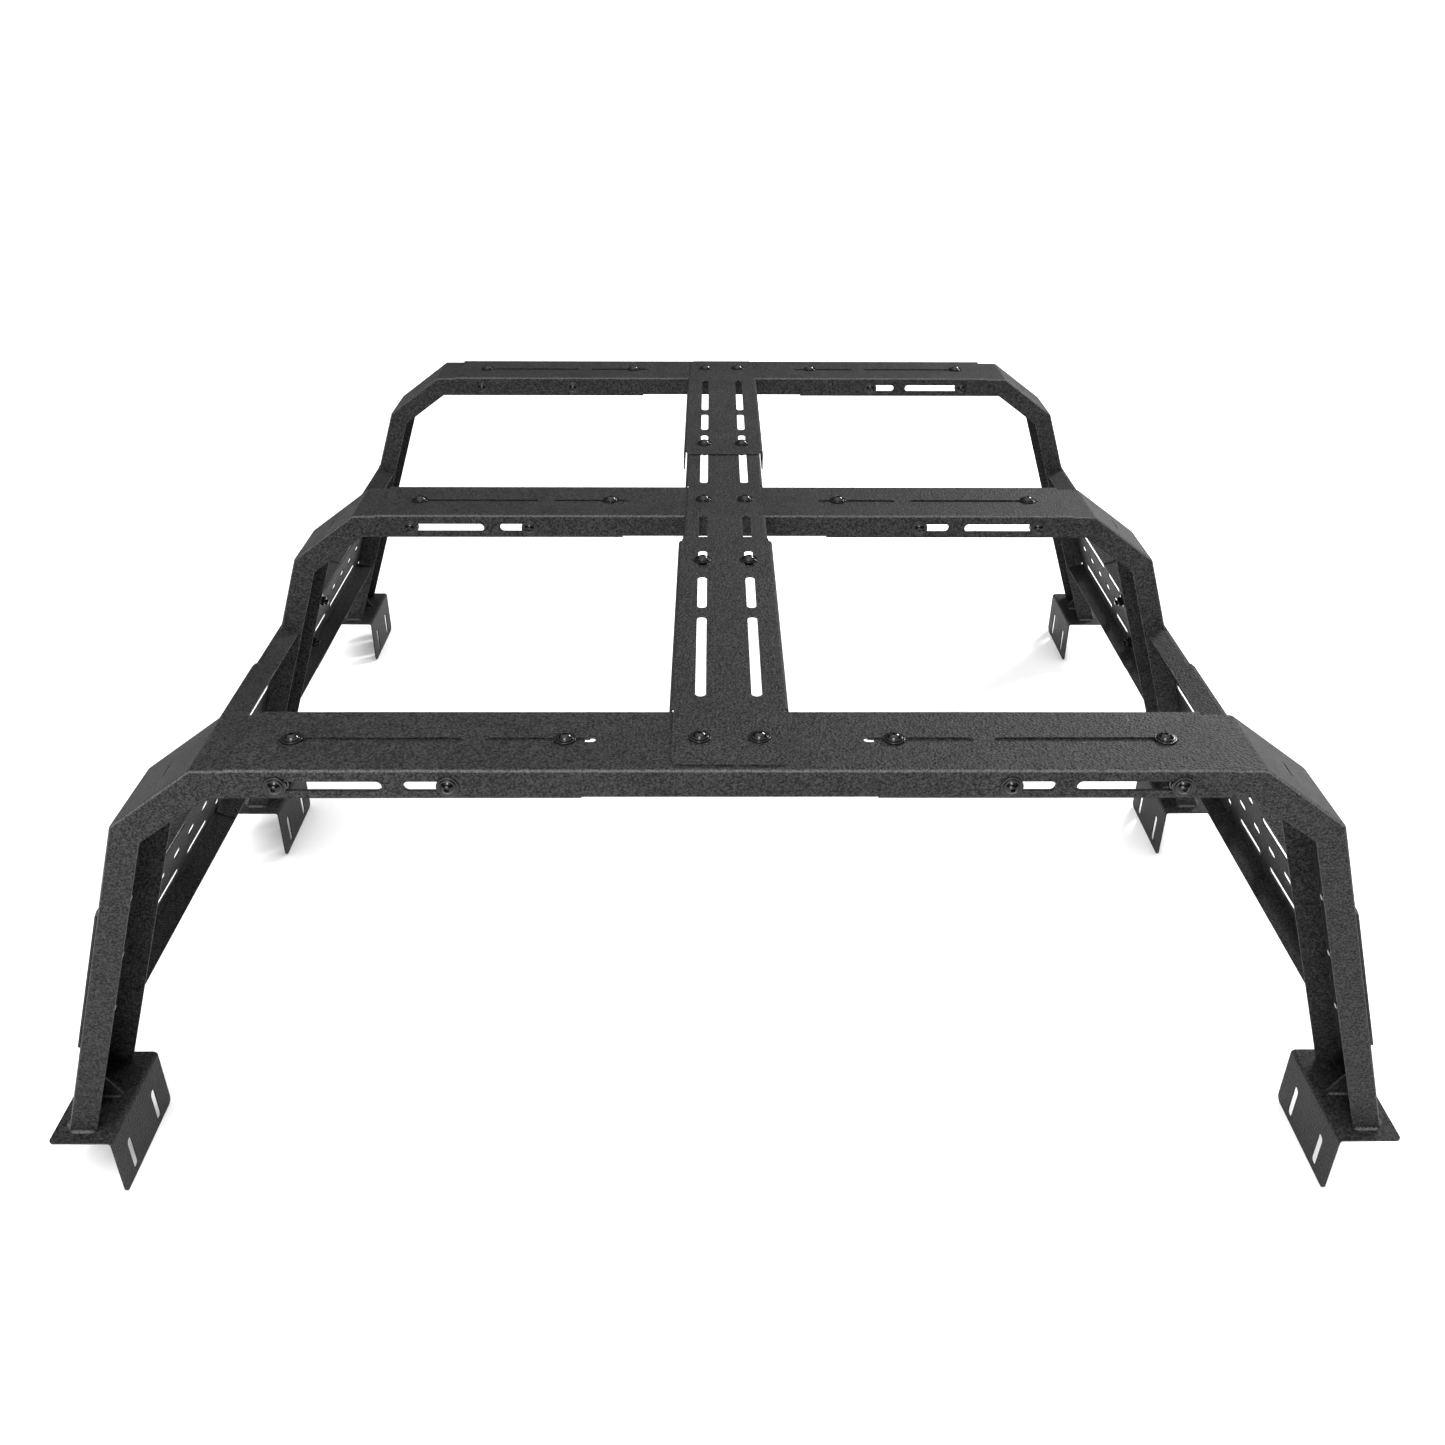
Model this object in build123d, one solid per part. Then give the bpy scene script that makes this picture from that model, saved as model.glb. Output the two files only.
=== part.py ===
from build123d import *
import math
import os

os.makedirs("parts", exist_ok=True)

# Ladder rack of pressed steel sheet: three hoops stand across a truck bed, tied by a spine of flat
# plates along the top and by slotted side panels between the legs. Millimetres; +Z up, -Y is the
# front, the origin is the centre of the footprint and Z = 0 the lower edge of the foot flanges.

# ---- driving dimensions ----
SHEET = 2.0                    # thickness of every pressing
GAP = 0.3                      # running clearance between two pressings that slide on each other
NEST = SHEET + GAP             # step from a pressing to the one nested inside it

FOOT_Z = 81.4                  # top of the foot plates
RACK_HEIGHT = 478.0            # foot plate to the top of the front and rear legs
HOOP_Y = {"front": -648.75, "mid": -3.25, "rear": 648.75}

LEG_DEPTH = 108.0              # leg channel, front face to rear face
LEG_FLANGE = 30.0              # height of the leg channel's two flanges
LEG_PATH = [(141.0, 478.0), (508.0, 478.0), (597.0, 414.0), (737.0, 0.0)]
LEG_BEND = 8.0                 # outer radius where the leg is folded at the shoulder and knee
LEG_EDGE = 3.5                 # outer radius between the web and the flanges
LEG_SLOTS = [(260.0, 308.0), (328.0, 463.0)]
LEG_TOP_HOLES = [160.0, 425.0]
SLIT_LENGTH, SLIT_WIDTH = 27.0, 3.5

CROSSBAR_LENGTH = 950.0
CROSSBAR_FLANGE = 29.5
CROSSBAR_BEND = 4.0
CROSSBAR_TOP_SLOTS = [(130.0, 238.0), (258.0, 438.0)]
CROSSBAR_FACE_SLOTS = [(260.0, 308.0), (328.0, 438.0)]
FACE_BOLT_X = [266.0, 428.5]
FACE_BOLT_DROP = 15.5          # from the top of the leg down to the row of bolts in the flanges
SLOT_WIDTH = 9.0
FACE_SLOT_WIDTH = 11.0
BOLT_HOLE = 9.0

SPINE_BOLT_X = 29.0
SPINE_SLOT_WIDTH = 11.0
SPINE_WIDTH, SPINE_NEST_WIDTH = 121.0, 111.0
SPINE_FLANGE = 29.0
SPINE_BEND = 4.5

PANEL_FOOT = 121.0             # height of the panel's lower edge above the foot plate
PANEL_HEIGHT = 200.0           # measured up the slope of the legs
PANEL_FLANGE = 30.0
PANEL_BEND = 5.0
PANEL_SLOT_WIDTH = 12.0
PANEL_ROWS = {"low": 20.0, "short_low": 60.0, "middle": 100.0, "short_high": 140.0, "high": 180.0}
PANEL_BOLT_ROWS = [20.0, 100.0, 180.0]
RELIEF = 9.0                   # round relief where a panel flange starts beside a leg

FOOT_LENGTH = 141.0
FOOT_X = (682.7, 753.0)
FOOT_BEND = 5.0
FOOT_SLOT_PITCH = 73.0
FOOT_SLOT = (11.0, 45.0)
FOOT_SLOT_DROP = 52.5
GUSSET = 40.0

# M8 flanged button-head screws, plain washers and hex nuts
SHANK, SCREW_LENGTH = 8.0, 20.0
HEAD_FLANGE, HEAD_DOME, HEAD_HEIGHT, HEAD_RIM = 17.5, 14.0, 4.8, 1.2
SOCKET_AF, SOCKET_DEPTH = 5.0, 2.8
WASHER, WASHER_BORE, WASHER_THICKNESS = 22.0, 8.4, 1.8
NUT_AF, NUT_BORE, NUT_HEIGHT = 13.0, 8.2, 6.8

# ---- slope of the legs below the knee ----
(knee_x, knee_z), (sole_x, sole_z) = LEG_PATH[2], LEG_PATH[3]
slope = math.atan2(sole_x - knee_x, knee_z - sole_z)
normal = Vector(math.cos(slope), 0, math.sin(slope))
NEST_X = NEST / math.cos(slope)


def side_plane(y, up, out):
    """Plane on the right-hand sloped faces: x along +Y, y up the slope, z outwards."""
    x = sole_x - PANEL_FOOT * math.tan(slope)
    along = Vector(-math.sin(slope), 0, math.cos(slope))
    origin = Vector(x, y, FOOT_Z + PANEL_FOOT) + along * up + normal * out
    return Plane(origin=origin, x_dir=(0, 1, 0), z_dir=normal)


def top_plane(x, y, z):
    return Plane(origin=(x, y, z), x_dir=(1, 0, 0), z_dir=(0, 0, 1))


def face_plane(x, y, z, side):
    """Plane on a front (side -1) or rear (side +1) face, with z outwards."""
    return Plane(origin=(x, y, z), x_dir=(1, 0, 0), z_dir=(0, side, 0))


def drill(plane, diameter, reach=20.0):
    return plane * Cylinder(diameter / 2, 2 * reach)


def slot_cut(plane, start, end, width, reach=20.0):
    """Round-ended slot from start to end along the plane's x direction."""
    middle = (start + end) / 2
    return plane * Pos(middle, 0, -reach) * extrude(SlotOverall(end - start, width), 2 * reach)


def channel(length, width, depth, radius):
    """U section, web outer face on Z = 0 and open downwards, running along +Y from Y = 0."""
    outer = Pos(0, -depth / 2) * Rectangle(width, depth)
    outer = fillet(outer.vertices().group_by(Axis.Y)[-1], radius)
    inner = Pos(0, -SHEET - depth / 2) * Rectangle(width - 2 * SHEET, depth)
    inner = fillet(inner.vertices().group_by(Axis.Y)[-1], radius - SHEET)
    section = Plane.XZ * (outer - inner)
    return Pos(0, length, 0) * extrude(section, length)


# ---- legs ----
def inset_path(distance):
    """The leg's outer line moved inwards by a distance, with mitred corners, ending on the foot."""
    lines = []
    for (x0, z0), (x1, z1) in zip(LEG_PATH, LEG_PATH[1:]):
        length = math.hypot(x1 - x0, z1 - z0)
        direction = ((x1 - x0) / length, (z1 - z0) / length)
        start = (x0 + direction[1] * distance, z0 - direction[0] * distance)
        lines.append((start, direction))
    points = [lines[0][0]]
    for (p, d), (q, e) in zip(lines, lines[1:]):
        cross = d[0] * e[1] - d[1] * e[0]
        along = ((q[0] - p[0]) * e[1] - (q[1] - p[1]) * e[0]) / cross
        points.append((p[0] + d[0] * along, p[1] + d[1] * along))
    (x, z), (dx, dz) = lines[-1]
    points.append((x + dx * (-20 - z) / dz, -20.0))
    return points


def leg_band(outside, inside, depth):
    """Solid between two insets of the leg line, centred on Y = 0."""
    outer, inner = inset_path(outside), inset_path(inside)
    outline = make_face(Polyline(*outer, *reversed(inner), close=True))
    radius = LEG_BEND - outside
    bends = [v for v in outline.vertices() if any(math.dist((v.X, v.Y), p) < 0.01 for p in outer[1:3])]
    outline = fillet(bends, radius)
    return Pos(0, depth / 2, 0) * extrude(Plane.XZ * outline, depth)


def leg(nested):
    """Right-hand leg, centred on Y = 0; the middle hoop's leg sits one nesting step inside."""
    body = leg_band(0, LEG_FLANGE, LEG_DEPTH)
    face_edges = [e for e in body.edges() if abs(abs(e.center().Y) - LEG_DEPTH / 2) < 0.01]
    web = [e for e in face_edges if e.center().X > 142 and on_web(e)]
    body = fillet(web, LEG_EDGE)
    body -= leg_band(SHEET, LEG_FLANGE + 5, LEG_DEPTH - 2 * SHEET)
    for x in LEG_TOP_HOLES:
        body -= drill(top_plane(x, 0, RACK_HEIGHT), BOLT_HOLE)
    row = face_plane(0, 0, RACK_HEIGHT - FACE_BOLT_DROP, -1)
    for start, end in LEG_SLOTS:
        body -= slot_cut(row, start, end, FACE_SLOT_WIDTH, LEG_DEPTH)
    (x0, z0), (x1, z1) = LEG_PATH[1], LEG_PATH[2]
    shoulder = Plane(origin=((x0 + x1) / 2, 0, (z0 + z1) / 2), x_dir=(0, 1, 0), z_dir=(z0 - z1, 0, x1 - x0))
    body -= slot_cut(shoulder, -SLIT_LENGTH / 2, SLIT_LENGTH / 2, SLIT_WIDTH, 8)
    body = Pos(0, 0, FOOT_Z) * body
    if nested:
        body = Pos(-NEST_X + NEST * math.tan(slope), 0, -NEST) * body
    for up in PANEL_BOLT_ROWS:
        body -= drill(side_plane(0, up, 0), BOLT_HOLE)
    return body - Pos(650, 0, FOOT_Z - 50) * Box(400, 200, 100)


def on_web(edge):
    """True for an edge that lies on the leg's outer line, straight or at a bend."""
    x, z = edge.center().X, edge.center().Z
    for (x0, z0), (x1, z1) in zip(LEG_PATH, LEG_PATH[1:]):
        length = math.hypot(x1 - x0, z1 - z0)
        away = abs((x1 - x0) * (z - z0) - (z1 - z0) * (x - x0)) / length
        if away < 4 and min(x0, x1) - 8 < x < max(x0, x1) + 8 and edge.length > 3:
            return True
    return False


# ---- crossbars ----
def crossbar():
    """Inverted channel over the inner ends of two legs; three flange halves are slotted and the
    fourth, at the rear right, has round holes."""
    width = LEG_DEPTH + 2 * NEST
    body = channel(CROSSBAR_LENGTH, width, CROSSBAR_FLANGE, CROSSBAR_BEND)
    body = Rot(0, 0, -90) * Pos(0, -CROSSBAR_LENGTH / 2, 0) * body
    top = top_plane(0, 0, 0)
    row_z = NEST + FACE_BOLT_DROP
    for side in (-1, 1):
        for start, end in CROSSBAR_TOP_SLOTS:
            body -= slot_cut(top, *sorted((side * start, side * end)), SLOT_WIDTH)
        body -= drill(top_plane(side * SPINE_BOLT_X, 0, 0), BOLT_HOLE)
        for face in (-1, 1):
            plane = Plane(origin=(0, face * width / 2, -row_z), x_dir=(1, 0, 0), z_dir=(0, face, 0))
            if side == 1 and face == 1:
                for x in FACE_BOLT_X:
                    body -= drill(Plane(origin=(x, face * width / 2, -row_z), z_dir=(0, face, 0)), BOLT_HOLE)
            else:
                for start, end in CROSSBAR_FACE_SLOTS:
                    body -= slot_cut(plane, *sorted((side * start, side * end)), FACE_SLOT_WIDTH)
    return body


# ---- spine plates ----
def spine_plate(width, start, flange_start, flange_end, end, slots, holes):
    """Plate along Y with two flanges between flange_start and flange_end; under face on Z = 0."""
    land = width - 2 * SPINE_BEND
    flat = Pos(0, (start + end) / 2) * Rectangle(land, end - start)
    flat = fillet(flat.vertices(), 9.0)
    body = extrude(flat, SHEET)
    for low, high in zip(flange_start, flange_end):
        body += Pos(0, low, SHEET) * channel(high - low, width, SPINE_FLANGE, SPINE_BEND)
    for side in (-1, 1):
        row = Plane(origin=(side * SPINE_BOLT_X, 0, 0), x_dir=(0, 1, 0), z_dir=(0, 0, 1))
        for low, high in slots:
            body -= slot_cut(row, low, high, SPINE_SLOT_WIDTH)
        for y in holes:
            body -= drill(top_plane(side * SPINE_BOLT_X, y, 0), BOLT_HOLE)
    return body


# distances from the front hoop's centre line to the front plate's features
FRONT_PLATE = {"start": -47.7, "flange": 57.0, "flange_end": 492.0, "end": 505.0,
               "slots": [(82.0, 270.0), (291.6, 381.4), (406.0, 462.0)]}
REAR_SHARE = 0.925             # the rear plate is the front plate shortened and turned round
JOINT_Y = {"front": -218.75, "rear": 228.25}   # screws that tie the outer plates to the middle one
# distances from the middle hoop's centre line
MIDDLE_PLATE = {"ends": (-240.0, 258.0), "hoop": 57.0, "slots": [(-226.0, -59.0), (65.5, 251.0)]}


# ---- side panels ----
def side_panel(spans, web, nested, slots, holes):
    """Right-hand panel: a web up the slope of the legs and, between the legs, flanges inwards."""
    step = NEST if nested else 0.0
    face = -GAP if nested else SHEET
    height = PANEL_HEIGHT - 2 * step
    flange = PANEL_FLANGE - (SHEET + GAP if nested else 0.0)
    (low, high) = web
    sheet = Pos((low + high) / 2, PANEL_HEIGHT / 2) * Rectangle(high - low, height - 4)
    body = Pos(0, 0, face - SHEET) * extrude(fillet(sheet.vertices(), 6.0), SHEET)
    for start, end in spans:
        section = Rot(0, 0, -90) * channel(end - start, height, flange, PANEL_BEND)
        body += Pos(start, PANEL_HEIGHT / 2, face) * section
        for y in (start, end):
            if low + 1 < y < high - 1:
                for up in (step + SHEET / 2, PANEL_HEIGHT - step - SHEET / 2):
                    body -= Pos(y, up, face - RELIEF / 2) * Sphere(RELIEF / 2)
    for row, ranges in slots.items():
        plane = Plane(origin=(0, PANEL_ROWS[row], face))
        for start, end in ranges:
            body -= slot_cut(plane, start, end, PANEL_SLOT_WIDTH, 8)
    for y, up in holes:
        body -= drill(Plane(origin=(y, up, face)), BOLT_HOLE, 8)
    return side_plane(0, 0, 0) * body


def short_slots(first, pitch, count, length=26.0):
    return [(first + i * pitch - length / 2, first + i * pitch + length / 2) for i in range(count)]


# ---- feet ----
def foot():
    """Right-hand bracket: plate under the leg and a slotted flange hanging inside the bed rail."""
    (inner, outer) = FOOT_X
    plate = Pos((inner + outer) / 2, 0, FOOT_Z - SHEET / 2) * Box(outer - inner, FOOT_LENGTH, SHEET)
    plate = fillet(plate.edges().filter_by(Axis.Z).group_by(Axis.X)[-1], 6)
    hang = Pos(inner + SHEET / 2, 0, FOOT_Z / 2) * Box(SHEET, FOOT_LENGTH, FOOT_Z)
    hang = fillet(hang.edges().filter_by(Axis.X).group_by(Axis.Z)[0], 8)
    body = plate + hang
    corner = body.edges().filter_by(Axis.Y)
    outside = [e for e in corner if abs(e.center().X - inner) < 0.01 and e.center().Z > FOOT_Z - 0.01]
    body = fillet(outside, FOOT_BEND)
    inside = [e for e in body.edges().filter_by(Axis.Y)
              if abs(e.center().X - inner - SHEET) < 0.01 and abs(e.center().Z - FOOT_Z + SHEET) < 0.01]
    body = fillet(inside, FOOT_BEND - SHEET)
    width, length = FOOT_SLOT
    for y in (-FOOT_SLOT_PITCH / 2, FOOT_SLOT_PITCH / 2):
        plane = Plane(origin=(inner, y, FOOT_Z - FOOT_SLOT_DROP), x_dir=(0, 0, 1), z_dir=(1, 0, 0))
        body -= slot_cut(plane, -length / 2, length / 2, width, 12)
    return body


def gusset():
    """Triangular rib standing on the foot plate inside the right-hand leg."""
    back = sole_x - SHEET / math.cos(slope)
    top_x = back - GUSSET * math.tan(slope)
    points = [(back, FOOT_Z), (top_x, FOOT_Z + GUSSET), (top_x - 4, FOOT_Z + GUSSET), (back - GUSSET, FOOT_Z + 4),
              (back - GUSSET, FOOT_Z)]
    outline = make_face(Polyline(*points, close=True))
    return Pos(0, SHEET / 2, 0) * extrude(Plane.XZ * outline, SHEET)


# ---- fasteners ----
def screw():
    """Flanged button-head screw, seat on Z = 0 with the shank downwards."""
    dome = HEAD_HEIGHT - HEAD_RIM
    radius = ((HEAD_DOME / 2) ** 2 + dome ** 2) / (2 * dome)
    ball = Pos(0, 0, HEAD_HEIGHT - radius) * Sphere(radius)
    cap = ball & (Pos(0, 0, HEAD_RIM + dome / 2) * Cylinder(HEAD_DOME / 2, dome))
    rim = Pos(0, 0, HEAD_RIM / 2) * Cylinder(HEAD_FLANGE / 2, HEAD_RIM)
    rim = fillet(rim.edges().sort_by(Axis.Z)[-1], 0.7)
    socket = extrude(RegularPolygon(SOCKET_AF / 2, 6, major_radius=False), SOCKET_DEPTH)
    shank = Pos(0, 0, -SCREW_LENGTH / 2) * Cylinder(SHANK / 2, SCREW_LENGTH)
    shank = chamfer(shank.edges().sort_by(Axis.Z)[0], 0.8)
    return cap + rim + shank - Pos(0, 0, HEAD_HEIGHT - SOCKET_DEPTH) * socket


def washer():
    ring = Pos(0, 0, WASHER_THICKNESS / 2) * Cylinder(WASHER / 2, WASHER_THICKNESS)
    ring = fillet(ring.edges().group_by(Axis.Z)[-1], 0.6)
    return ring - Cylinder(WASHER_BORE / 2, 20)


def nut():
    """Hex nut hanging below Z = 0."""
    prism = extrude(RegularPolygon(NUT_AF / 2, 6, major_radius=False), NUT_HEIGHT)
    cone = Pos(0, 0, NUT_HEIGHT / 2) * Cylinder(NUT_AF * 0.56, NUT_HEIGHT)
    cone = chamfer(cone.edges().group_by(Axis.Z)[0] + cone.edges().group_by(Axis.Z)[-1], 0.9)
    return Pos(0, 0, -NUT_HEIGHT) * ((prism & cone) - Cylinder(NUT_BORE / 2, 40))


def fasten(kit, plane, grip, gap_above=0.0, gap_below=0.0):
    """Adds a screw, two washers and a nut through a stack of sheets; the plane is its outer face."""
    seat = gap_above + WASHER_THICKNESS
    under = -grip - gap_below - WASHER_THICKNESS
    kit["screws"].append(plane * Pos(0, 0, seat) * screw())
    kit["washers"].append(plane * Pos(0, 0, gap_above) * washer())
    kit["washers"].append(plane * Pos(0, 0, under) * washer())
    kit["nuts"].append(plane * Pos(0, 0, under) * nut())


def new_kit():
    return {"screws": [], "washers": [], "nuts": []}


# ---- the three frames: crossbar, spine plate and their fasteners ----
nodes = {}
front_y, mid_y, rear_y = HOOP_Y["front"], HOOP_Y["mid"], HOOP_Y["rear"]
leg_top = {"front": FOOT_Z + RACK_HEIGHT, "mid": FOOT_Z + RACK_HEIGHT - NEST, "rear": FOOT_Z + RACK_HEIGHT}
bar_width = LEG_DEPTH + 2 * NEST
bar = crossbar()

front_slots = [(front_y + a, front_y + b) for a, b in FRONT_PLATE["slots"]]
rear_slots = [(rear_y - b * REAR_SHARE, rear_y - a * REAR_SHARE) for a, b in FRONT_PLATE["slots"]]
(mid_low, mid_high) = MIDDLE_PLATE["ends"]
mid_slots = [(mid_y + a, mid_y + b) for a, b in MIDDLE_PLATE["slots"]]

spines = {
    "front": spine_plate(SPINE_WIDTH, front_y + FRONT_PLATE["start"], [front_y + FRONT_PLATE["flange"]],
                         [front_y + FRONT_PLATE["flange_end"]], front_y + FRONT_PLATE["end"],
                         front_slots, [front_y]),
    "mid": spine_plate(SPINE_NEST_WIDTH, mid_y + mid_low, [mid_y + mid_low, mid_y + MIDDLE_PLATE["hoop"]],
                       [mid_y - MIDDLE_PLATE["hoop"], mid_y + mid_high], mid_y + mid_high,
                       mid_slots, [mid_y]),
    "rear": spine_plate(SPINE_WIDTH, rear_y - FRONT_PLATE["end"] * REAR_SHARE,
                        [rear_y - FRONT_PLATE["flange_end"] * REAR_SHARE],
                        [rear_y - FRONT_PLATE["flange"]], rear_y - FRONT_PLATE["start"],
                        rear_slots, [rear_y]),
}

for hoop, y in HOOP_Y.items():
    top = leg_top[hoop] + NEST
    turn = 180 if hoop == "rear" else 0
    nodes["crossbar_" + hoop] = Pos(0, y, top) * Rot(0, 0, turn) * bar
    nodes["spine_plate_" + hoop] = Pos(0, 0, top) * spines[hoop]
    kit = new_kit()
    for side in (-1, 1):
        fasten(kit, top_plane(side * SPINE_BOLT_X, y, top + SHEET), 2 * SHEET)
        for face in (-1, 1):
            for x in FACE_BOLT_X:
                plane = face_plane(side * x, y + face * bar_width / 2, leg_top[hoop] - FACE_BOLT_DROP, face)
                fasten(kit, plane, 2 * SHEET + GAP, gap_below=GAP)
        if hoop != "mid":
            fasten(kit, top_plane(side * SPINE_BOLT_X, JOINT_Y[hoop], top + SHEET), 2 * SHEET + GAP, gap_below=GAP)
    for kind, items in kit.items():
        nodes[kind + "_" + hoop + "_frame"] = items

# ---- the six leg assemblies: leg, foot, rib, side panel and their fasteners ----
long_slots = {
    "front": [(64, 248), (278, 356), (389, 445)],
    "mid": [(-218.5, -56.5), (57.5, 239.5)],
    "rear": [(-287.5, -101.5), (-397.5, -311.5), (-450, -408)],
}
short_rows = {
    "front": short_slots(72, 52, 8),
    "mid": short_slots(-200, 52, 3) + short_slots(96, 52, 3),
    "rear": short_slots(-395.5, 56, 6),
}
panel_web = {"front": (-53.0, 479.0), "mid": (-250.5, 251.5), "rear": (-463.5, 52.5)}
panel_span = {"front": [(56.0, 479.0)], "mid": [(-250.5, -56.5), (56.5, 251.5)], "rear": [(-463.5, -56.0)]}
joint_rows = [PANEL_ROWS["low"], PANEL_ROWS["middle"]]
panel_joint = {"front": 435.0, "rear": -418.5}

for hoop, y in HOOP_Y.items():
    nested = hoop == "mid"
    out = 0.0 if nested else SHEET
    ranges = {}
    for row in PANEL_ROWS:
        items = short_rows[hoop] if row.startswith("short") else long_slots[hoop]
        ranges[row] = [(y + low, y + high) for low, high in items]
    holes = [(y, up) for up in PANEL_BOLT_ROWS]
    spans = [(y + a, y + b) for a, b in panel_span[hoop]]
    web = (y + panel_web[hoop][0], y + panel_web[hoop][1])
    shift = -NEST_X if nested else 0.0
    right = {
        "leg": Pos(0, y, 0) * leg(nested),
        "foot": Pos(shift, y, 0) * foot(),
        "gusset": Pos(shift, y, 0) * gusset(),
        "side_panel": side_panel(spans, web, nested, ranges, holes),
    }
    kit = new_kit()
    for x in LEG_TOP_HOLES:
        bolt_x = x - (NEST_X - NEST * math.tan(slope) if nested else 0.0)
        fasten(kit, top_plane(bolt_x, y, leg_top[hoop] + NEST), 2 * SHEET + GAP, gap_above=GAP)
    for up in PANEL_BOLT_ROWS:
        fasten(kit, side_plane(y, up, -GAP if nested else SHEET), 2 * SHEET)
    if not nested:
        for up in joint_rows:
            fasten(kit, side_plane(y + panel_joint[hoop], up, SHEET), 2 * SHEET + GAP, gap_below=GAP)
    for side in ("right", "left"):
        for kind, solid in right.items():
            nodes[kind + "_" + hoop + "_" + side] = solid if side == "right" else mirror(solid, Plane.YZ)
        for kind, items in kit.items():
            group = items if side == "right" else [mirror(item, Plane.YZ) for item in items]
            nodes[kind + "_leg_" + hoop + "_" + side] = group

for name, item in nodes.items():
    if isinstance(item, list):
        item = Compound(children=[solid for part in item for solid in part.solids()])
    export_step(item, "parts/" + name + ".step")
    box = item.bounding_box()
    print(name, len(item.solids()), [round(v, 2) for v in (*box.min, *box.max)])
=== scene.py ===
import math
import random
import bmesh
import bpy
from mathutils import Matrix, Vector, noise


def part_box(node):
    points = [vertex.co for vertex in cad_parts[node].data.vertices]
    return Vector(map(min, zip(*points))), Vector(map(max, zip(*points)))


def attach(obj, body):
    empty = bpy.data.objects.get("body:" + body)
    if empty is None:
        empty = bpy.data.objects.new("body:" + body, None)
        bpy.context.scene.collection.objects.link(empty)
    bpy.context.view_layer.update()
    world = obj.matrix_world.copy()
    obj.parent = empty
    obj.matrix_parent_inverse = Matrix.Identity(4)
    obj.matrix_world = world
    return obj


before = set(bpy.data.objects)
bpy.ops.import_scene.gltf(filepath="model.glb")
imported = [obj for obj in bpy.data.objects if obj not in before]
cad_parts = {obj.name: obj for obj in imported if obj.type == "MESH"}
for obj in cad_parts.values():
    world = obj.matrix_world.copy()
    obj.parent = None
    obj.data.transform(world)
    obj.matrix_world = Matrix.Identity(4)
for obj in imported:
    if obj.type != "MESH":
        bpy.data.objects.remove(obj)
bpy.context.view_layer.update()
scene = bpy.context.scene

HOOPS = ("front", "mid", "rear")
SIDES = (("left", -1), ("right", 1))

# leg channel between knee and foot, in metres
LEG_FLANGE = 0.030
LEG_RUN, LEG_RISE = 0.140, 0.414

# weld beads, in metres: leg size, rib size, and how far each bead stops short of its corner
LEG_BEAD, RIB_BEAD = 0.0062, 0.0048
OUTER_CORNER_STOP = 0.003
INNER_CORNER_STOP = 0.001
OUTER_BEAD_STOP = 0.004
RIB_TIP_STOP, RIB_HEEL_STOP = 0.003, 0.004

# textured powder coat: feature sizes as scales, bevel radii and bump depth in metres
GRAIN_SCALE, PEBBLE_SCALE = 460.0, 380.0
MOTTLE_SCALE, DUST_SCALE, RUB_SCALE = 14.0, 3.2, 60.0
COAT_EDGE, COAT_ROUNDING, COAT_BUMP = 0.0012, 0.0007, 0.0012
COAT_SPECULAR = 0.10
# the lighter grey for the coat's sharp edges and bends: part edge wear, part painted highlight
COAT_WEAR_AND_HIGHLIGHT = (0.095, 0.095, 0.097, 1.0)

# blackened fastener steel
CLOUD_SCALE, SPECK_SCALE = 180.0, 1600.0
STEEL_EDGE, STEEL_ROUNDING, STEEL_BUMP = 0.0006, 0.00035, 0.00008
STEEL_SPECULAR = 0.22
STEEL_GLOSS, STEEL_GLOSS_ROUGHNESS = 0.12, 0.06
STEEL_WEAR = (0.10, 0.10, 0.102, 1.0)


# ---------------------------------------------------------------- material helpers
def new_material(name):
    material = bpy.data.materials.new(name)
    material.use_nodes = True
    tree = material.node_tree
    tree.nodes.clear()
    output = tree.nodes.new("ShaderNodeOutputMaterial")
    shader = tree.nodes.new("ShaderNodeBsdfPrincipled")
    tree.links.new(shader.outputs[0], output.inputs[0])
    return material, tree, shader


def node(tree, kind, settings=(), **inputs):
    """A shader node. Inputs are given by name, or as i0, i1 and so on by position."""
    item = tree.nodes.new(kind)
    for key, value in settings:
        setattr(item, key, value)
    for key, value in inputs.items():
        label = key.replace("_", " ")
        socket = item.inputs[label] if label in item.inputs else item.inputs[int(key[1:])]
        if isinstance(value, bpy.types.NodeSocket):
            tree.links.new(value, socket)
        else:
            socket.default_value = value
    return item


def coordinates(tree):
    return node(tree, "ShaderNodeTexCoord").outputs["Object"]


def shifted(tree, offset):
    """Object coordinates moved by offset, so that two materials don't share a pattern."""
    item = node(tree, "ShaderNodeMapping", Vector=coordinates(tree), Location=offset)
    return item.outputs[0]


def noise_of(tree, where, scale, detail=2.0, roughness=0.5):
    item = node(tree, "ShaderNodeTexNoise", Vector=where, Scale=scale, Detail=detail,
                Roughness=roughness)
    return item.outputs[0]


def spread(tree, value, low, high, to_low, to_high):
    item = node(tree, "ShaderNodeMapRange", i0=value, i1=low, i2=high, i3=to_low, i4=to_high)
    return item.outputs[0]


def blend(tree, factor, a, b, kind="MIX"):
    item = node(tree, "ShaderNodeMix", (("data_type", "RGBA"), ("blend_type", kind)))
    for index, value in ((0, factor), (6, a), (7, b)):
        if isinstance(value, bpy.types.NodeSocket):
            tree.links.new(value, item.inputs[index])
        else:
            item.inputs[index].default_value = value
    return item.outputs[2]


def combine(tree, a, b, kind="MULTIPLY"):
    item = node(tree, "ShaderNodeMath", (("operation", kind),), i0=a, i1=b)
    return item.outputs[0]


def grey_colour(tree, level, blue=1.0):
    """A grey of this level, with its blue channel scaled."""
    last = level if blue == 1.0 else combine(tree, level, blue)
    return node(tree, "ShaderNodeCombineColor", i0=level, i1=level, i2=last).outputs[0]


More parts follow.
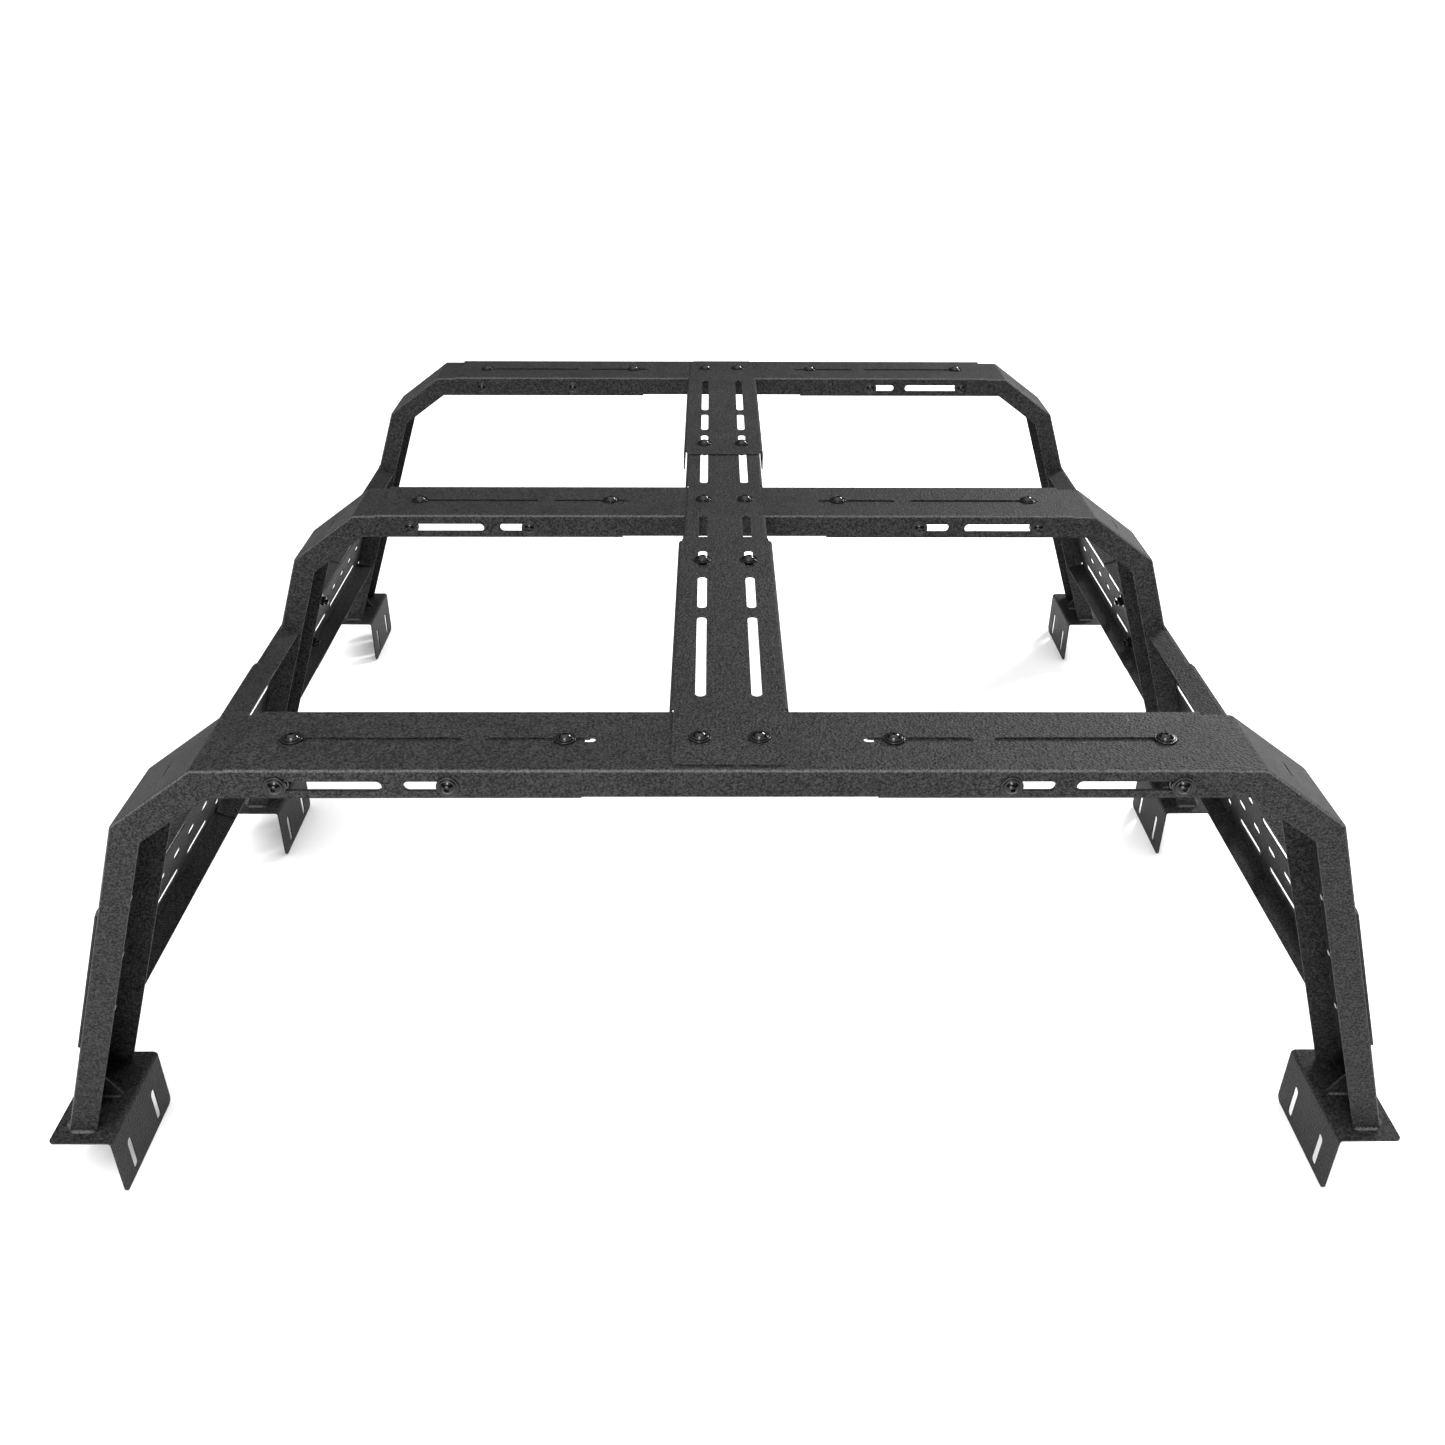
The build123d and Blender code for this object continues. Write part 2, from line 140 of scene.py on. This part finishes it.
def rounded_normal(tree, radius):
    return node(tree, "ShaderNodeBevel", (("samples", 4),), Radius=radius).outputs[0]


def bump(tree, height, normal, strength, distance):
    item = node(tree, "ShaderNodeBump", Strength=strength, Distance=distance, Height=height,
                Normal=normal)
    return item.outputs[0]


def edge_mask(tree, radius, low, high):
    """1 on sharp edges: where a rounded normal leaves the true one."""
    rounded = rounded_normal(tree, radius)
    true = node(tree, "ShaderNodeNewGeometry").outputs["Normal"]
    item = node(tree, "ShaderNodeVectorMath", (("operation", "DOT_PRODUCT"),), i0=rounded, i1=true)
    return spread(tree, item.outputs["Value"], high, low, 0.0, 1.0)


def bend_highlight_mask(tree):
    """1 in the middle of a bend between a web and a front or rear flange, where a painted highlight line
    goes.
    """
    normal = node(tree, "ShaderNodeNewGeometry").outputs["Normal"]
    across = node(tree, "ShaderNodeSeparateXYZ", i0=normal).outputs["Y"]
    square = combine(tree, across, across)
    rest = combine(tree, 1.0, square, "SUBTRACT")
    both = combine(tree, combine(tree, square, rest), 4.0)
    return spread(tree, both, 0.3, 0.95, 0.0, 1.0)


def powder_coat(name, seed, base=0.003, light=0.036):
    """Black textured powder coat: even coarse grain, soft mottling, sharp edges lightened as part wear
    and part painted highlight, and a painted highlight along the bends.
    """
    material, tree, shader = new_material(name)
    where = shifted(tree, (seed * 1.7, seed * 0.9, seed * 2.3))
    grain = noise_of(tree, where, GRAIN_SCALE, 2.0, 0.7)
    pebble = node(tree, "ShaderNodeTexVoronoi", (("feature", "SMOOTH_F1"),), Vector=where,
                  Scale=PEBBLE_SCALE, Smoothness=0.5).outputs[0]
    mottle = noise_of(tree, where, MOTTLE_SCALE, 4.0, 0.6)
    dust = noise_of(tree, where, DUST_SCALE, 3.0, 0.55)
    grey = spread(tree, grain, 0.38, 0.66, base, light)
    soft = combine(tree, grey, spread(tree, mottle, 0.3, 0.7, 0.88, 1.14))
    soft = combine(tree, soft, spread(tree, dust, 0.3, 0.7, 0.92, 1.1))
    colour = grey_colour(tree, soft, 1.03)

    # sharp edges lightened: part edge wear, part painted edge highlight
    edges = edge_mask(tree, COAT_EDGE, 0.80, 0.97)
    rubbed = noise_of(tree, where, RUB_SCALE, 3.0, 0.7)
    wear_and_highlight = combine(tree, edges, spread(tree, rubbed, 0.42, 0.62, 0.15, 0.6))
    # painted highlight: a lighter grainy line where the bends face 45 degrees towards the front or back
    bend_highlight = combine(tree, bend_highlight_mask(tree), spread(tree, grain, 0.35, 0.65, 0.35, 0.9))
    wear_and_highlight = combine(tree, wear_and_highlight, bend_highlight, "MAXIMUM")
    tree.links.new(blend(tree, wear_and_highlight, colour, COAT_WEAR_AND_HIGHLIGHT), shader.inputs["Base Color"])

    rough = spread(tree, mottle, 0.3, 0.7, 0.46, 0.56)
    rough = combine(tree, rough, spread(tree, grain, 0.3, 0.7, -0.05, 0.07), "ADD")
    tree.links.new(rough, shader.inputs["Roughness"])
    shader.inputs["Specular IOR Level"].default_value = COAT_SPECULAR

    coarse = bump(tree, pebble, rounded_normal(tree, COAT_ROUNDING), 1.0, COAT_BUMP)
    fine = bump(tree, grain, coarse, 1.0, COAT_BUMP)
    tree.links.new(fine, shader.inputs["Normal"])
    return material


def black_steel(name, seed, roughness, base, turned=False):
    """Blackened fastener steel: glossy, faintly speckled, brighter where the edges are rubbed."""
    material, tree, shader = new_material(name)
    where = shifted(tree, (seed, seed * 0.4, seed * 1.9))
    cloud = noise_of(tree, where, CLOUD_SCALE, 3.0, 0.6)
    speck = noise_of(tree, where, SPECK_SCALE, 1.0, 0.5)
    level = spread(tree, cloud, 0.3, 0.7, base * 0.7, base * 1.5)
    colour = grey_colour(tree, level, 1.04)
    edges = edge_mask(tree, STEEL_EDGE, 0.82, 0.98)
    rubbed = combine(tree, edges, spread(tree, cloud, 0.42, 0.6, 0.15, 0.8))
    tree.links.new(blend(tree, rubbed, colour, STEEL_WEAR), shader.inputs["Base Color"])

    rough = spread(tree, cloud, 0.3, 0.7, roughness * 0.75, roughness * 1.35)
    tree.links.new(rough, shader.inputs["Roughness"])
    shader.inputs["Metallic"].default_value = 0.0
    shader.inputs["Specular IOR Level"].default_value = STEEL_SPECULAR
    shader.inputs["Coat Weight"].default_value = STEEL_GLOSS
    shader.inputs["Coat Roughness"].default_value = STEEL_GLOSS_ROUGHNESS

    height = combine(tree, speck, cloud, "ADD") if turned else speck
    rounded = rounded_normal(tree, STEEL_ROUNDING)
    tree.links.new(bump(tree, height, rounded, 0.18, STEEL_BUMP), shader.inputs["Normal"])
    return material


# ---------------------------------------------------------------- materials on the CAD nodes
coats = {
    "crossbar": powder_coat("coat_crossbar", 1.0),
    "leg": powder_coat("coat_leg", 2.0),
    "foot": powder_coat("coat_foot", 3.0),
    "gusset": powder_coat("coat_gusset", 4.0),
    "spine_plate": powder_coat("coat_spine", 5.0),
    "side_panel": powder_coat("coat_panel", 6.0),
}
hardware = {
    "screws": black_steel("black_screw", 1.0, 0.07, 0.002),
    "washers": black_steel("black_washer", 2.0, 0.20, 0.004, turned=True),
    "nuts": black_steel("black_nut", 3.0, 0.18, 0.005),
}
for name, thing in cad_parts.items():
    for table in (coats, hardware):
        for start, material in table.items():
            if name.startswith(start + "_"):
                thing.data.materials.clear()
                thing.data.materials.append(material)


# ---------------------------------------------------------------- weld beads
weld_coat = powder_coat("coat_weld", 8.0, 0.03, 0.09)
RING_POINTS = 9                # points on the face of a bead's cross-section
RIPPLE_STEPS = 5.0             # steps along the bead from one ripple to the next
FADE_STEPS = 4                 # steps over which the bead rises and dies away


def bead_path(points, size):
    """Evenly spaced places along the points, each with its number."""
    path = []
    for start, end in zip(points, points[1:]):
        length = (end - start).length
        steps = max(4, int(length / (size * 0.14)))
        for i in range(steps):
            path.append((start.lerp(end, i / steps), len(path)))
    path.append((points[-1], len(path)))
    return path


def weld_bead(name, points, normal_a, normal_b, size, body, seed):
    """A rippled fillet bead along points, in the corner between two faces with these outward normals."""
    rng = random.Random(seed)
    path = bead_path(points, size)
    corner = (normal_a + normal_b).normalized()
    mesh = bmesh.new()
    rings = []
    total = len(path)
    wander = rng.uniform(0, 50)
    for place, index in path:
        ripple = 0.5 + 0.5 * math.cos(index * 2 * math.pi / RIPPLE_STEPS)
        sway = noise.noise(Vector((index * 0.05 + wander, seed, 0))) * 0.16
        end_fade = min(1.0, (index + 0.6) / FADE_STEPS, (total - index - 0.4) / FADE_STEPS)
        reach = size * (0.86 + 0.14 * ripple + sway) * max(0.25, end_fade)
        ring = []
        for k in range(RING_POINTS):
            share = k / (RING_POINTS - 1)
            flat = normal_a * (1 - share) + normal_b * share
            bulge = 0.62 + 0.16 * math.sin(math.pi * share) * (0.7 + 0.5 * ripple)
            ring.append(mesh.verts.new(place + flat * reach * bulge * 0.9 / flat.length))
        ring.append(mesh.verts.new(place - corner * size * 0.12))
        rings.append(ring)
    for a, b in zip(rings, rings[1:]):
        count = len(a)
        for k in range(count):
            mesh.faces.new((a[k], a[(k + 1) % count], b[(k + 1) % count], b[k]))
    mesh.faces.new(rings[0][::-1])
    mesh.faces.new(rings[-1])
    bmesh.ops.recalc_face_normals(mesh, faces=mesh.faces)
    data = bpy.data.meshes.new(name)
    mesh.to_mesh(data)
    mesh.free()
    for polygon in data.polygons:
        polygon.use_smooth = True
    data.materials.append(weld_coat)
    bead = bpy.data.objects.new(name, data)
    scene.collection.objects.link(bead)
    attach(bead, body)


def leg_base(hoop, side, sign):
    """Where the leg meets its foot plate: the y range, the outer x and the plate's top."""
    leg_low, leg_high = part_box("leg_" + hoop + "_" + side)
    plate_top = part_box("foot_" + hoop + "_" + side)[1].z
    outer = leg_high.x if sign > 0 else leg_low.x
    return leg_low.y, leg_high.y, outer, plate_top


def weld_leg(hoop, side, sign, seed):
    """Beads on the front, rear and outer faces of one leg's base, and on both faces of its rib."""
    body = "leg_assembly_" + hoop + "_" + side
    tag = hoop + "_" + side
    up = Vector((0, 0, 1))
    y0, y1, outer, z = leg_base(hoop, side, sign)
    inner = outer - sign * LEG_FLANGE / math.cos(math.atan2(LEG_RUN, LEG_RISE))

    for y, facing, word in ((y0, -1, "front"), (y1, 1, "rear")):
        start = Vector((outer - sign * OUTER_CORNER_STOP, y, z))
        end = Vector((inner + sign * INNER_CORNER_STOP, y, z))
        weld_bead("weld_leg_%s_%s" % (word, tag), [start, end], Vector((0, facing, 0)), up,
                  LEG_BEAD, body, seed + facing)

    start = Vector((outer, y0 + OUTER_BEAD_STOP, z))
    end = Vector((outer, y1 - OUTER_BEAD_STOP, z))
    weld_bead("weld_leg_outer_%s" % tag, [start, end], Vector((sign, 0, 0)), up,
              LEG_BEAD, body, seed + 3)

    rib_low, rib_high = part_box("gusset_" + hoop + "_" + side)
    tip = rib_low.x if sign > 0 else rib_high.x
    heel = rib_high.x if sign > 0 else rib_low.x
    for y, facing, word in ((rib_low.y, -1, "front"), (rib_high.y, 1, "rear")):
        start = Vector((tip + sign * RIB_TIP_STOP, y, z))
        end = Vector((heel - sign * RIB_HEEL_STOP, y, z))
        weld_bead("weld_rib_%s_%s" % (word, tag), [start, end], Vector((0, facing, 0)), up,
                  RIB_BEAD, body, seed + 6 + facing)


for hoop_index, hoop in enumerate(HOOPS):
    for side, sign in SIDES:
        weld_leg(hoop, side, sign, hoop_index * 10 + (1 if sign > 0 else 5))


# ---------------------------------------------------------------- floor, light, camera
SKY_LOW, SKY_HIGH = 0.05, 2.6
SKY_FROM, SKY_TO = 0.45, 1.0   # heights between which the sky brightens
FLOOR_REACH = 70.0
FLOOR_CELLS = 28
FLOOR_DROP = 0.001             # keeps the floor just below the feet


def stage_floor():
    mesh = bmesh.new()
    bmesh.ops.create_grid(mesh, x_segments=FLOOR_CELLS, y_segments=FLOOR_CELLS, size=FLOOR_REACH)
    data = bpy.data.meshes.new("floor")
    mesh.to_mesh(data)
    mesh.free()
    material, tree, shader = new_material("pale_floor")
    level = spread(tree, noise_of(tree, coordinates(tree), 2.0, 2.0), 0.3, 0.7, 0.93, 0.95)
    tree.links.new(grey_colour(tree, level), shader.inputs["Base Color"])
    shader.inputs["Roughness"].default_value = 0.9
    shader.inputs["Specular IOR Level"].default_value = 0.1
    data.materials.append(material)
    floor = bpy.data.objects.new("floor", data)
    floor.location = (0, 0, -FLOOR_DROP)
    scene.collection.objects.link(floor)


def studio_sky():
    """Bright overhead and dark at the sides, but plain white where the camera sees it."""
    world = bpy.data.worlds.new("studio")
    world.use_nodes = True
    tree = world.node_tree
    background = tree.nodes["Background"]
    background.inputs[1].default_value = 1.0
    direction = node(tree, "ShaderNodeTexCoord").outputs["Generated"]
    height = node(tree, "ShaderNodeSeparateXYZ", i0=direction).outputs["Z"]
    level = spread(tree, height, SKY_FROM, SKY_TO, SKY_LOW, SKY_HIGH)
    seen = node(tree, "ShaderNodeLightPath").outputs["Is Camera Ray"]
    level = combine(tree, level, seen, "MAXIMUM")
    tree.links.new(grey_colour(tree, level), background.inputs[0])
    scene.world = world


def area_light(name, place, target, size, power):
    lamp = bpy.data.lights.new(name, "AREA")
    lamp.energy = power
    lamp.size = size
    thing = bpy.data.objects.new(name, lamp)
    thing.location = place
    direction = Vector(target) - Vector(place)
    thing.rotation_euler = direction.to_track_quat("-Z", "Y").to_euler()
    scene.collection.objects.link(thing)


stage_floor()
studio_sky()
# name, where it hangs, what it points at, its size in metres and its power in watts
area_light("overhead", (-0.2, -0.6, 3.4), (0, 0, 0.4), 2.6, 14.0)
area_light("right_high", (2.4, 2.4, 2.4), (0.4, -0.3, 0.5), 1.0, 150.0)
area_light("front_fill", (-0.6, -3.6, 0.9), (0.0, -0.4, 0.4), 1.6, 75.0)
area_light("front_high", (-0.3, -2.3, 3.0), (0.0, -0.4, 0.5), 1.2, 70.0)

scene.view_settings.view_transform = "Standard"
scene.view_settings.look = "None"

# camera: where it stands, its tilt, turn and roll in radians, and its lens in millimetres
CAMERA_AT = (-0.0169, -1.7464, 1.2280)
PITCH, YAW, ROLL = 0.5327, 0.0090, 0.0046
FOCAL_LENGTH, SENSOR_WIDTH = 32.886, 36.0

forward = Vector((math.sin(YAW) * math.cos(PITCH), math.cos(YAW) * math.cos(PITCH), -math.sin(PITCH)))
flat_right = Vector((math.cos(YAW), -math.sin(YAW), 0.0))
flat_up = flat_right.cross(forward)
right = math.cos(ROLL) * flat_right + math.sin(ROLL) * flat_up
upward = -math.sin(ROLL) * flat_right + math.cos(ROLL) * flat_up
lens = bpy.data.cameras.new("camera")
lens.sensor_width = SENSOR_WIDTH
lens.lens = FOCAL_LENGTH
lens.clip_start = 0.01
lens.clip_end = 100.0
camera = bpy.data.objects.new("camera", lens)
turn = Matrix((right, upward, -forward)).transposed()
camera.matrix_world = Matrix.Translation(CAMERA_AT) @ turn.to_4x4()
scene.collection.objects.link(camera)
scene.camera = camera
